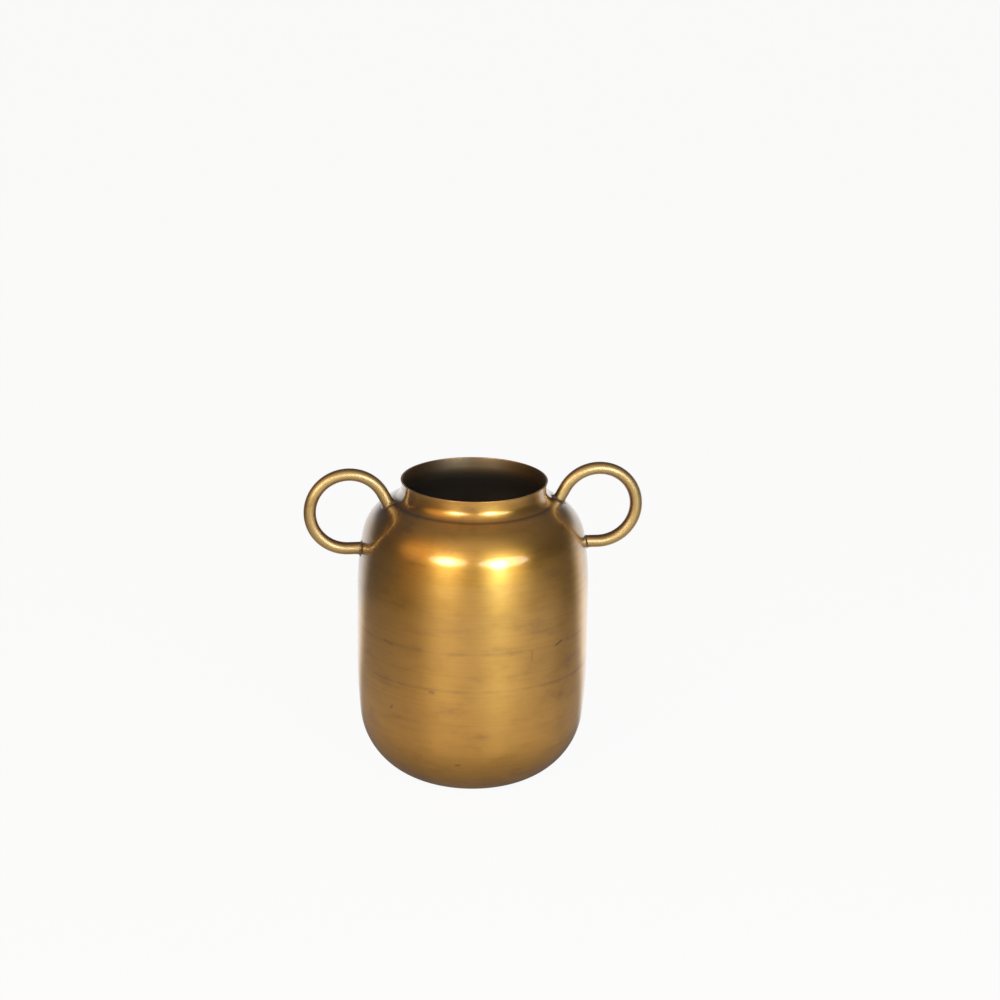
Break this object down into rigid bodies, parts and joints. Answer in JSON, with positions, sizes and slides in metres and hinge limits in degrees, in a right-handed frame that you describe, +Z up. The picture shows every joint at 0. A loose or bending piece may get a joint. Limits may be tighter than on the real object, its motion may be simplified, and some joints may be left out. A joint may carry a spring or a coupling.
{
  "type": "urn vase",
  "caption": "Round-shouldered sheet-brass urn vase with a short, slightly flared neck, an open mouth and a ring handle of round rod brazed on at each side.",
  "frame": {"origin": "middle of the standing ring, on the plane that the vase stands on", "axes": "+Z up along the axis of the body, +X towards the right handle, -Y towards the viewer"},
  "size_m": [0.2202, 0.15, 0.2093],
  "materials": {
    "spun_sheet": "satin antique brass, brushed around the axis and lacquered",
    "rod": "satin antique brass, brushed along the rod and lacquered",
    "braze": "brass filler, filed smooth and lacquered"
  },
  "bodies": {
    "root": {"upper_shell": "spun_sheet", "lower_shell": "spun_sheet", "seam_braze": "braze", "left_handle": "rod", "right_handle": "rod", "left_upper_braze": "braze", "left_lower_braze": "braze", "right_upper_braze": "braze", "right_lower_braze": "braze"}
  },
  "joints": []
}
